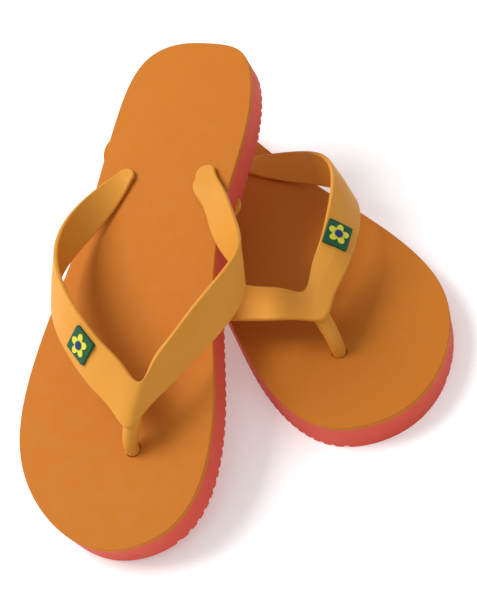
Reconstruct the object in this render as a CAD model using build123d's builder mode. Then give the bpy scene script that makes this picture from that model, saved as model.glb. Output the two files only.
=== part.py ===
from build123d import *
import os

# A pair of thong sandals (flip-flops) set down together: the left sandal lies flat on the
# floor, and the right one lies across it, with its toe on the floor and its heel held up by
# the left one's strap.
#
# Each sandal is drawn as a right-foot one in its own frame: X runs to the outer side of the
# foot, Y from the heel to the toe and Z up from the underside of the sole.  Millimetres.

# ---- driving dimensions: outline of the sole ----
sole_length = 265.0
heel_width = 72.5
waist_width = 72.4
instep_width = 85.5
ball_width = 98.4
heel_middle_x = 1.2
waist_middle_x = 3.8
instep_middle_x = 4.2
toe_tip_x = -11.0  # the big toe makes the inner side the longer one
heel_y = 38.0
waist_y = 97.0
instep_setback = 109.0  # setbacks are measured back from the toe end
outer_ball_setback = 77.0
inner_ball_setback = 52.0
outer_heel_corner_inset = 7.0  # in from the heel's side
inner_heel_corner_inset = 8.8
heel_corner_y = 10.0
outer_toe_inset = 5.0  # in from the ball's side
outer_toe_setback = 43.0
toe_corner_setback = 13.0
outer_toe_corner_inset = 27.0
inner_toe_corner_inset = 9.0

# ---- driving dimensions: thickness and tread ----
heel_thickness = 15.8  # whole sole
toe_thickness = 14.0
footbed_thickness = 2.0
footbed_rim_round = 0.5
tread_pitch = 4.7
tread_mouth = 2.3
tread_root = 1.2
tread_depth = 1.1
tread_end_margin = 7.0  # plain sole left at the heel and the toe

# ---- driving dimensions: strap holes and plugs ----
toe_hole_x = -13.5
toe_hole_setback = 45.5
rear_hole_x = 27.0  # either side of the sandal's own middle line
rear_hole_y = 90.0
toe_stem_diameter = 6.4
rear_stem_diameter = 6.0
toe_plug_diameter = 17.0
rear_plug_diameter = 15.0
plug_thickness = 2.8
plug_recess = 1.4  # underside of the sole to the face of a plug
hole_clearance = 0.4  # all round a stem
plug_clearance = 0.4  # all round a plug

# ---- driving dimensions: strap ----
band_thickness = 2.8
band_crown = 0.5  # ridge along the middle of the outer face
band_edge_round = 0.9
band_marks = (0.07, 0.16, 0.28, 0.41, 0.54, 0.67, 0.79, 0.9, 1.0)  # shares of an arm's length
post_top_diameter = 8.0
post_inset = 6.0  # tip of the band back to the middle of the post
post_drop = 2.6  # middle of the band down to the middle of the post
post_lead = 4.0  # how far below the band the post turns towards its hole
post_straight = 7.0  # how far above the footbed the post is upright
post_marks = (0, 0.35, 0.7, 1)  # shares of the post's length

# ---- driving dimensions: badge on the outer arm ----
badge_mark = 0.24  # place along the arm
badge_offset = -1.5  # from the middle of the band towards its low edge
badge_length = 13.6
badge_width = 12.2
badge_thickness = 1.9
badge_seat_depth = 0.8
badge_corner = 0.8
flower_thickness = 0.5
petal_count = 5
petal_length = 4.0
petal_width = 3.3
petal_reach = 3.3  # middle of the badge to the middle of a petal
eye_diameter = 4.0
eye_thickness = 0.9
flower_ring_width = 1.0  # yellow round the eye that joins the petals

# ---- driving dimensions: the way the pair lies ----
upper_heading = 133.3  # degrees about Z, of the upper sandal's toe
upper_roll = 5.4  # degrees, inner side up
upper_heel_x = 33.3  # heel of the upper sandal, from the heel of the lower one
upper_heel_y = -53.5
rest_clearance = 1.0  # upper sole above the middle of the lower strap's high edge
steepest_pitch = 45.0
pitch_halvings = 20
rim_steps = 200  # places tried round the upper sole's rim
edge_steps = 40  # places tried along each arm of the lower strap

# ---- derived sizes ----
toe_hole_y = sole_length - toe_hole_setback
thickness_slope = (toe_thickness - heel_thickness) / sole_length
tongue_height = band_thickness / 2
deeper_than_sole = 2 * heel_thickness + 2 * toe_thickness

# ---- edges of the strap ----
# The strap is one band, twisted so that its outer face turns under at the two tongues.  On
# each arm the high and the low edge are four-point curves from the toe to the tongue: the
# first two points are measured from the toe hole and the last two from that arm's rear
# hole.  The upper sandal's strap stands free; the lower one's is pressed down and outwards.
free_strap = {
    "outer": {
        "high": ((-9, -22, 23), (53, -68, 45), (24, 22, 18), (0, -13, tongue_height)),
        "low": ((-4, -4, 15), (85, -72, 29), (5, 35, -5), (-8, -8, tongue_height)),
    },
    "inner": {
        "high": ((-9, -22, 23), (-44, -92, 31), (-41, 55, 15), (2, -12, tongue_height)),
        "low": ((-4, -4, 15), (-70, -104, 1), (-18, 72, 2), (11, -7, tongue_height)),
    },
}
pressed_strap = {
    "outer": {
        "high": ((2, -25, 20), (65, -64, 49), (33, 28, 14), (2, -11, tongue_height)),
        "low": ((-1, -5, 20), (94, -65, 21), (11, 37, -5), (-7, -5, tongue_height)),
    },
    "inner": {
        "high": ((2, -25, 20), (-33, -79, 11.5), (-29, 66, 35.5), (0, -12, tongue_height)),
        "low": ((-1, -5, 20), (-70, -75, 14), (-29, 64, -2), (10, -6, tongue_height)),
    },
}


# ---- geometry that several pieces share ----
def top_height(y):
    """Height of the footbed's upper face at y."""
    return heel_thickness + thickness_slope * y


def sole_plane(depth):
    """The plane that lies depth below the footbed's upper face."""
    return Plane(origin=(0, 0, heel_thickness - depth), x_dir=(1, 0, 0), z_dir=(0, -thickness_slope, 1))


def sole_points():
    """Outline of the sole from the heel, up the outer side, round the toe and back."""
    heel_side = heel_width / 2
    ball_side = ball_width / 2
    return [
        (0, 0),
        (heel_middle_x + heel_side - outer_heel_corner_inset, heel_corner_y),
        (heel_middle_x + heel_side, heel_y),
        (waist_middle_x + waist_width / 2, waist_y),
        (instep_middle_x + instep_width / 2, sole_length - instep_setback),
        (ball_side, sole_length - outer_ball_setback),
        (ball_side - outer_toe_inset, sole_length - outer_toe_setback),
        (ball_side - outer_toe_corner_inset, sole_length - toe_corner_setback),
        (toe_tip_x, sole_length),
        (inner_toe_corner_inset - ball_side, sole_length - toe_corner_setback),
        (-ball_side, sole_length - inner_ball_setback),
        (instep_middle_x - instep_width / 2, sole_length - instep_setback),
        (waist_middle_x - waist_width / 2, waist_y),
        (heel_middle_x - heel_side, heel_y),
        (heel_middle_x - heel_side + inner_heel_corner_inset, heel_corner_y),
    ]


def sole_slab(top_depth, bottom_depth=None):
    """The sole's outline between two depths below the footbed's upper face."""
    with BuildPart() as slab:
        with BuildSketch():
            with BuildLine():
                Spline(*sole_points(), periodic=True)
            make_face()
        extrude(amount=deeper_than_sole)
        split(bisect_by=sole_plane(top_depth), keep=Keep.BOTTOM)
        if bottom_depth is not None:
            split(bisect_by=sole_plane(bottom_depth), keep=Keep.TOP)
    return slab.part


def stems():
    """Place, stem diameter and plug diameter of each of the strap's three stems."""
    return [
        ((toe_hole_x, toe_hole_y), toe_stem_diameter, toe_plug_diameter),
        ((rear_hole_x, rear_hole_y), rear_stem_diameter, rear_plug_diameter),
        ((-rear_hole_x, rear_hole_y), rear_stem_diameter, rear_plug_diameter),
    ]


# ---- geometry of the strap ----
def arm_edges(shape, arm):
    """High and low edge of one arm as curves."""
    side = 1 if arm == "outer" else -1
    edges = []
    for edge in ("high", "low"):
        points = []
        for number, (x, y, z) in enumerate(shape[arm][edge]):
            hole_x = toe_hole_x if number < 2 else side * rear_hole_x
            hole_y = toe_hole_y if number < 2 else rear_hole_y
            points.append(Vector(hole_x + x, hole_y + y, top_height(hole_y + y) + z))
        edges.append(Bezier(*points))
    return edges


def arm_travel(edges, mark):
    """Direction of an arm at mark, from the toe to the tongue."""
    return edges[0].tangent_at(mark) + edges[1].tangent_at(mark)


def band_station(edges, mark, travel):
    """Plane and width of a section: X runs to the low edge, Y out of the outer face."""
    top = edges[0].position_at(mark)
    across = edges[1].position_at(mark) - top
    outward = across.cross(travel)
    plane = Plane(origin=top + across / 2, x_dir=across, z_dir=across.cross(outward))
    return plane, across.length


def tip_station(shape):
    """The section in the tip of the band, where the two arms meet."""
    outer = arm_edges(shape, "outer")
    inner = arm_edges(shape, "inner")
    return band_station(outer, 0, arm_travel(inner, 0) - arm_travel(outer, 0))


def band_stations(shape):
    """All sections of the band, from the outer tongue to the inner one."""
    outer = arm_edges(shape, "outer")
    inner = arm_edges(shape, "inner")
    outer_arm = [band_station(outer, mark, -arm_travel(outer, mark)) for mark in band_marks]
    inner_arm = [band_station(inner, mark, arm_travel(inner, mark)) for mark in band_marks]
    return outer_arm[::-1] + [tip_station(shape)] + inner_arm


def band_corners(width):
    """Corners of the band's section: a flat inner face, and a low ridge along the outer one."""
    half = width / 2
    inner = -band_thickness / 2
    ridge = band_thickness / 2
    shoulder = ridge - band_crown
    return [(-half, inner), (half, inner), (half, shoulder), (0, ridge), (-half, shoulder)]


def band_section(plane, width, half=False):
    """The band's section, or only the half of it towards the low edge."""
    with BuildSketch(plane) as section:
        with BuildLine():
            Polyline(*band_corners(width), close=True)
        make_face()
        fillet(section.vertices().sort_by(Axis.Y)[:-1], band_edge_round)  # all but the ridge
        if half:
            split(bisect_by=Plane.YZ, keep=Keep.TOP)
    return section.sketch


def post_path(shape):
    """Middle line of the toe post, from inside the tip of the band to the footbed."""
    plane, width = tip_station(shape)
    start = plane.from_local_coords((width / 2 - post_inset, -post_drop, 0))
    lead = plane.from_local_coords((width / 2 - post_inset / 2, -post_drop - post_lead, 0))
    foot = Vector(toe_hole_x, toe_hole_y, top_height(toe_hole_y))
    return Bezier(start, lead, foot + Vector(0, 0, post_straight), foot)


def badge_plane(shape, height):
    """Plane at a height above the badge's place: X along the arm, Z out of the face."""
    edges = arm_edges(shape, "outer")
    section, width = band_station(edges, badge_mark, -arm_travel(edges, badge_mark))
    origin = section.from_local_coords((badge_offset, band_thickness / 2 + height, 0))
    return Plane(origin=origin, x_dir=arm_travel(edges, badge_mark), z_dir=section.y_dir)


# ---- the pieces of one sandal, in its own frame ----
def make_footbed():
    with BuildPart() as footbed:
        add(sole_slab(0, footbed_thickness))
        fillet(footbed.faces().sort_by(Axis.Z)[-1].edges(), footbed_rim_round)
        for place, stem_diameter, plug_diameter in stems():
            with Locations(place):
                Cylinder(stem_diameter / 2 + hole_clearance, deeper_than_sole, mode=Mode.SUBTRACT)
    return footbed.part


def make_outsole():
    groove_count = int((sole_length - 2 * tread_end_margin) / tread_pitch)
    groove_corners = [
        (-tread_mouth / 2, -tread_depth),
        (-tread_mouth / 2, 0),
        (-tread_root / 2, tread_depth),
        (tread_root / 2, tread_depth),
        (tread_mouth / 2, 0),
        (tread_mouth / 2, -tread_depth),
    ]
    with BuildPart() as outsole:
        add(sole_slab(footbed_thickness))
        with BuildSketch(Plane.YZ):
            with Locations((sole_length / 2, 0)):
                with GridLocations(tread_pitch, 0, groove_count, 1):
                    Polygon(*groove_corners)
        extrude(amount=ball_width, both=True, mode=Mode.SUBTRACT)
        for place, stem_diameter, plug_diameter in stems():
            with Locations(place):
                Cylinder(stem_diameter / 2 + hole_clearance, deeper_than_sole, mode=Mode.SUBTRACT)
                Cylinder(
                    plug_diameter / 2 + plug_clearance,
                    2 * (plug_recess + plug_thickness),
                    mode=Mode.SUBTRACT,
                )
    return outsole.part


def make_strap(shape):
    stations = band_stations(shape)
    with BuildPart() as strap:
        loft([band_section(plane, width) for plane, width in stations])
        for (plane, width), turn in ((stations[0], -1), (stations[-1], 1)):
            tongue_half = band_section(plane, width, half=True)
            revolve(tongue_half, axis=Axis(plane.origin, plane.y_dir * turn), revolution_arc=180)
        add(sole_slab(0), mode=Mode.SUBTRACT)
        path = post_path(shape)
        for mark in post_marks:
            radius = (post_top_diameter * (1 - mark) + toe_stem_diameter * mark) / 2
            with BuildSketch(Plane(origin=path.position_at(mark), z_dir=path.tangent_at(mark))):
                Circle(radius)
        loft()
        for place, stem_diameter, plug_diameter in stems():
            with BuildSketch(Plane.XY.offset(plug_recess)):
                with Locations(place):
                    Circle(plug_diameter / 2)
            extrude(amount=plug_thickness)
            with BuildSketch(Plane.XY.offset(plug_recess)):
                with Locations(place):
                    Circle(stem_diameter / 2)
            extrude(amount=top_height(place[1]) + tongue_height - plug_recess)
        with BuildSketch(badge_plane(shape, -badge_seat_depth)):
            RectangleRounded(badge_length, badge_width, badge_corner)
        extrude(amount=band_thickness, mode=Mode.SUBTRACT)
    return strap.part


def make_badge_plate(shape):
    with BuildPart() as plate:
        with BuildSketch(badge_plane(shape, -badge_seat_depth)):
            RectangleRounded(badge_length, badge_width, badge_corner)
        extrude(amount=badge_thickness)
    return plate.part


def make_badge_flower(shape):
    with BuildPart() as flower:
        with BuildSketch(badge_plane(shape, badge_thickness - badge_seat_depth)):
            with PolarLocations(petal_reach, petal_count):
                Ellipse(petal_length / 2, petal_width / 2)
            Circle(eye_diameter / 2 + flower_ring_width)
            Circle(eye_diameter / 2, mode=Mode.SUBTRACT)
        extrude(amount=flower_thickness)
    return flower.part


def make_badge_eye(shape):
    with BuildPart() as eye:
        with BuildSketch(badge_plane(shape, badge_thickness - badge_seat_depth)):
            Circle(eye_diameter / 2)
        extrude(amount=eye_thickness)
    return eye.part


def make_sandal(shape):
    return {
        "footbed": plain_footbed,
        "outsole": plain_outsole,
        "strap": make_strap(shape),
        "badge_plate": make_badge_plate(shape),
        "badge_flower": make_badge_flower(shape),
        "badge_eye": make_badge_eye(shape),
    }


# ---- how the pair lies ----
def upper_place(pitch):
    """Place of the upper sandal at a pitch, its toe end just on the floor."""
    turn = Rot(Z=upper_heading) * Rot(X=-pitch) * Rot(Y=upper_roll)
    lowest = min((turn * Pos(point.X, point.Y, 0)).position.Z for point in rim)
    return Pos(upper_heel_x, upper_heel_y, -lowest) * turn


def strap_gap(pitch):
    """Least gap at a pitch from the lower sandal's strap up to the upper sole."""
    place = upper_place(pitch).inverse()
    gap = heel_thickness
    for point in resting_points:
        local = (place * Pos(point.X, -point.Y, point.Z)).position
        if abs(local.X) < ball_width / 2 and 0 < local.Y < sole_length:
            gap = min(gap, -local.Z)
    return gap


rim = Spline(*sole_points(), periodic=True).positions([step / rim_steps for step in range(rim_steps)])
resting_points = []
for arm in ("outer", "inner"):
    high_edge = arm_edges(pressed_strap, arm)[0]
    resting_points += high_edge.positions([step / edge_steps for step in range(edge_steps + 1)])

# the pitch at which the upper sandal just rests on the strap, by halving a range of pitches
low_pitch = 0.0
upper_pitch = steepest_pitch
for halving in range(pitch_halvings):
    middle_pitch = (low_pitch + upper_pitch) / 2
    if strap_gap(middle_pitch) < rest_clearance:
        low_pitch = middle_pitch
    else:
        upper_pitch = middle_pitch
print("pitch", upper_pitch, upper_place(upper_pitch))

plain_footbed = make_footbed()
plain_outsole = make_outsole()
lower_pieces = {name: mirror(piece, about=Plane.XZ) for name, piece in make_sandal(pressed_strap).items()}
upper_pieces = {name: upper_place(upper_pitch) * piece for name, piece in make_sandal(free_strap).items()}
pieces = {}
for name, piece in lower_pieces.items():
    pieces["lower_" + name] = piece
for name, piece in upper_pieces.items():
    pieces["upper_" + name] = piece

# ---- origin on the floor, under the middle of the pair ----
box = Compound(list(pieces.values())).bounding_box()
origin = Pos(-(box.min.X + box.max.X) / 2, -(box.min.Y + box.max.Y) / 2, -box.min.Z)
print("origin", origin.position, "size", box.size)

os.makedirs("parts", exist_ok=True)
for name, piece in pieces.items():
    placed = origin * piece
    placed.label = name
    export_step(placed, "parts/" + name + ".step")
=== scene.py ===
import bpy
import math
from mathutils import Matrix, Vector


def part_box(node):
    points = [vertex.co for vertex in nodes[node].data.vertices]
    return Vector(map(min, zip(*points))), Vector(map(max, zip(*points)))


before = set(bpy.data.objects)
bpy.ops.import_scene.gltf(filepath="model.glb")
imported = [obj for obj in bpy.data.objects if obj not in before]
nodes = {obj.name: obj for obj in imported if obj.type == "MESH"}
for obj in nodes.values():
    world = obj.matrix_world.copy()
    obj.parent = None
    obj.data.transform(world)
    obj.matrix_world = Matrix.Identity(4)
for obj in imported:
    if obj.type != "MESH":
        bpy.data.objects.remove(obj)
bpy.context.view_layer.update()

# A pair of thong sandals, the left one flat on the floor and the right one lying across it.
# Everything is in metres, in the frame of the CAD model.
MM = 0.001
scene = bpy.context.scene


# ---- camera ----
VIEW_DIRECTION = (0.3199, 0.9475)  # looking this way over the floor
VIEW_ELEVATION = math.radians(45.5)
VIEW_ROLL = math.radians(-18.9)
VIEW_DISTANCE = 0.675
FOCAL_LENGTH = 81.8  # mm on a 36 mm sensor
TARGET_FROM_HEEL = (-0.0259, -0.1458)  # from the lower sandal's heel

low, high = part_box("lower_outsole")
heel = Vector(((low[0] + high[0]) / 2, high[1], 0))
target = heel + Vector((*TARGET_FROM_HEEL, 0))
flat = Vector((*VIEW_DIRECTION, 0)).normalized()
forward = flat * math.cos(VIEW_ELEVATION) - Vector((0, 0, math.sin(VIEW_ELEVATION)))
level_right = forward.cross(Vector((0, 0, 1))).normalized()
level_up = level_right.cross(forward)
right = level_right * math.cos(VIEW_ROLL) + level_up * math.sin(VIEW_ROLL)
up = level_up * math.cos(VIEW_ROLL) - level_right * math.sin(VIEW_ROLL)

camera_data = bpy.data.cameras.new("camera")
camera_data.lens = FOCAL_LENGTH
camera_data.sensor_width = 36
camera_data.clip_start = 0.01
camera = bpy.data.objects.new("camera", camera_data)
turn = Matrix((right, up, -forward)).transposed().to_4x4()
camera.matrix_world = Matrix.Translation(target - forward * VIEW_DISTANCE) @ turn
scene.collection.objects.link(camera)
scene.camera = camera


# ---- material helpers ----
class Shader:
    """A Principled material whose nodes are added by name."""

    def __init__(self, name, roughness, specular=0.5):
        self.material = bpy.data.materials.new(name)
        self.material.use_nodes = True
        self.tree = self.material.node_tree
        self.bsdf = self.tree.nodes["Principled BSDF"]
        self.bsdf.inputs["Roughness"].default_value = roughness
        self.bsdf.inputs["Specular IOR Level"].default_value = specular
        self.place = self.node("ShaderNodeTexCoord").outputs["Object"]

    def node(self, kind, **settings):
        node = self.tree.nodes.new(kind)
        for key, value in settings.items():
            setattr(node, key, value)
        return node

    def link(self, source, sink):
        self.tree.links.new(source, sink)

    def noise(self, scale, detail=3.0, roughness=0.5):
        """Noise from 0 to 1 with lumps of about 1 / scale metres."""
        node = self.node("ShaderNodeTexNoise")
        node.inputs["Scale"].default_value = scale
        node.inputs["Detail"].default_value = detail
        node.inputs["Roughness"].default_value = roughness
        self.link(self.place, node.inputs["Vector"])
        return node.outputs["Fac"]

    def spread(self, value, low, high, new_low, new_high):
        """value mapped from low-high to new_low-new_high."""
        node = self.node("ShaderNodeMapRange")
        for number, setting in enumerate((low, high, new_low, new_high), start=1):
            node.inputs[number].default_value = setting
        self.link(value, node.inputs[0])
        return node.outputs[0]

    def mix(self, factor, first, second):
        """first where factor is 0 and second where it is 1; each may be a value or a socket."""
        node = self.node("ShaderNodeMix", data_type="RGBA")
        for number, value in ((0, factor), (6, first), (7, second)):
            socket = node.inputs[number]
            if isinstance(value, bpy.types.NodeSocket):
                self.link(value, socket)
            elif isinstance(value, float):
                socket.default_value = value
            else:
                socket.default_value = (*value, 1)
        return node.outputs[2]

    def bump(self, height, distance, strength, under=None):
        """Normals that follow a height of up to distance metres, on top of those under it."""
        node = self.node("ShaderNodeBump")
        node.inputs["Strength"].default_value = strength
        node.inputs["Distance"].default_value = distance
        self.link(height, node.inputs["Height"])
        if under is not None:
            self.link(under, node.inputs["Normal"])
        return node.outputs["Normal"]

    def finish(self, colour, normal=None, roughness=None):
        """Link what the surface needs and return its material."""
        self.link(colour, self.bsdf.inputs["Base Color"])
        if normal is not None:
            self.link(normal, self.bsdf.inputs["Normal"])
        if roughness is not None:
            self.link(roughness, self.bsdf.inputs["Roughness"])
        return self.material


# ---- looks of the pieces ----
RUBBER_SPECULAR = 0.2
CLOUD_SCALE = 16  # faint patches of about 60 mm
DULL_SCALE = 160  # duller and shinier patches of about 6 mm
DULL_RANGE = 0.07  # either side of the rubber's own roughness


def rubber(name, colour, pale, dark, grain_size, grain_depth, roughness, mottle=0.3):
    """Moulded or foamed rubber: a fine pebbled skin with faint pale and dark specks."""
    shader = Shader(name, roughness, RUBBER_SPECULAR)
    cloud = shader.spread(shader.noise(CLOUD_SCALE, 2.0), 0.3, 0.7, 0.0, 0.5)
    base = shader.mix(cloud, colour, pale)
    speck = shader.spread(shader.noise(1 / grain_size, 2.0, 0.6), 0.52, 0.75, 0.0, mottle)
    base = shader.mix(speck, base, dark)
    bloom = shader.spread(shader.noise(0.5 / grain_size, 3.0, 0.7), 0.55, 0.8, 0.0, mottle)
    base = shader.mix(bloom, base, pale)
    coarse = shader.bump(shader.noise(0.3 / grain_size, 2.0), grain_depth * 1.5, 0.6)
    fine = shader.bump(shader.noise(1 / grain_size, 3.0, 0.65), grain_depth, 0.8, under=coarse)
    patches = shader.noise(DULL_SCALE, 3.0)
    dull = shader.spread(patches, 0.3, 0.7, roughness - DULL_RANGE, roughness + DULL_RANGE)
    return shader.finish(base, fine, dull)


FOOTBED = rubber(
    "footbed rubber", (0.525, 0.160, 0.012), (0.54, 0.170, 0.015), (0.44, 0.125, 0.008),
    grain_size=0.45 * MM, grain_depth=0.045 * MM, roughness=0.72,
)
OUTSOLE = rubber(
    "outsole rubber", (0.64, 0.070, 0.040), (0.71, 0.125, 0.090), (0.50, 0.040, 0.022),
    grain_size=0.7 * MM, grain_depth=0.07 * MM, roughness=0.65, mottle=0.5,
)
STRAP = rubber(
    "strap rubber", (0.66, 0.275, 0.030), (0.69, 0.300, 0.040), (0.56, 0.21, 0.02),
    grain_size=0.5 * MM, grain_depth=0.035 * MM, roughness=0.55, mottle=0.22,
)
PLATE = rubber(
    "badge green", (0.010, 0.085, 0.040), (0.014, 0.105, 0.05), (0.005, 0.05, 0.025),
    grain_size=0.4 * MM, grain_depth=0.03 * MM, roughness=0.5,
)
FLOWER = rubber(
    "badge yellow", (0.64, 0.60, 0.045), (0.70, 0.65, 0.07), (0.50, 0.42, 0.03),
    grain_size=0.4 * MM, grain_depth=0.02 * MM, roughness=0.46,
)
EYE = rubber(
    "badge blue", (0.010, 0.030, 0.14), (0.018, 0.045, 0.18), (0.006, 0.018, 0.09),
    grain_size=0.4 * MM, grain_depth=0.02 * MM, roughness=0.45,
)
LOOKS = {
    "footbed": FOOTBED,
    "outsole": OUTSOLE,
    "strap": STRAP,
    "badge_plate": PLATE,
    "badge_flower": FLOWER,
    "badge_eye": EYE,
}
for side in ("lower", "upper"):
    for part, material in LOOKS.items():
        piece = nodes[f"{side}_{part}"]
        piece.data.materials.clear()
        piece.data.materials.append(material)


# ---- floor and light ----
HALF_FLOOR = 6.0
FLOOR_CLOUD_SCALE = 2.0
FLOOR_GLOW = 0.25  # keeps the floor white away from the lamp
WORLD_STRENGTH = 0.6
KEY_DISTANCE = 1.3
KEY_SIZE = 0.7
KEY_POWER = 14.0  # watts

floor_mesh = bpy.data.meshes.new("floor")
floor_mesh.from_pydata(
    [(x * HALF_FLOOR, y * HALF_FLOOR, 0) for x, y in ((-1, -1), (1, -1), (1, 1), (-1, 1))],
    [],
    [(0, 1, 2, 3)],
)
floor = bpy.data.objects.new("floor", floor_mesh)
floor_shader = Shader("floor", 0.9, specular=0.1)
floor_cloud = floor_shader.noise(FLOOR_CLOUD_SCALE)
floor_tint = floor_shader.mix(floor_cloud, (0.90, 0.90, 0.90), (0.92, 0.92, 0.92))
floor_shader.bsdf.inputs["Emission Color"].default_value = (1, 1, 1, 1)
floor_shader.bsdf.inputs["Emission Strength"].default_value = FLOOR_GLOW
floor_mesh.materials.append(floor_shader.finish(floor_tint))
scene.collection.objects.link(floor)

world = bpy.data.worlds.new("studio")
world.use_nodes = True
background = world.node_tree.nodes["Background"]
background.inputs["Color"].default_value = (1, 1, 1, 1)
background.inputs["Strength"].default_value = WORLD_STRENGTH
scene.world = world


def softbox(name, toward, distance, size, power):
    """A square white area light, off in the direction toward, that shines at the pair."""
    data = bpy.data.lights.new(name, "AREA")
    data.shape = "SQUARE"
    data.size = size
    data.energy = power
    lamp = bpy.data.objects.new(name, data)
    aim = Vector(toward).normalized()
    lamp.location = target + aim * distance
    lamp.rotation_euler = aim.to_track_quat("Z", "Y").to_euler()
    scene.collection.objects.link(lamp)


key_direction = -level_right * 0.75 + flat * 0.35 + Vector((0, 0, 1))  # left of the pair, beyond and above it
softbox("key", key_direction, KEY_DISTANCE, KEY_SIZE, KEY_POWER)

scene.view_settings.view_transform = "Standard"
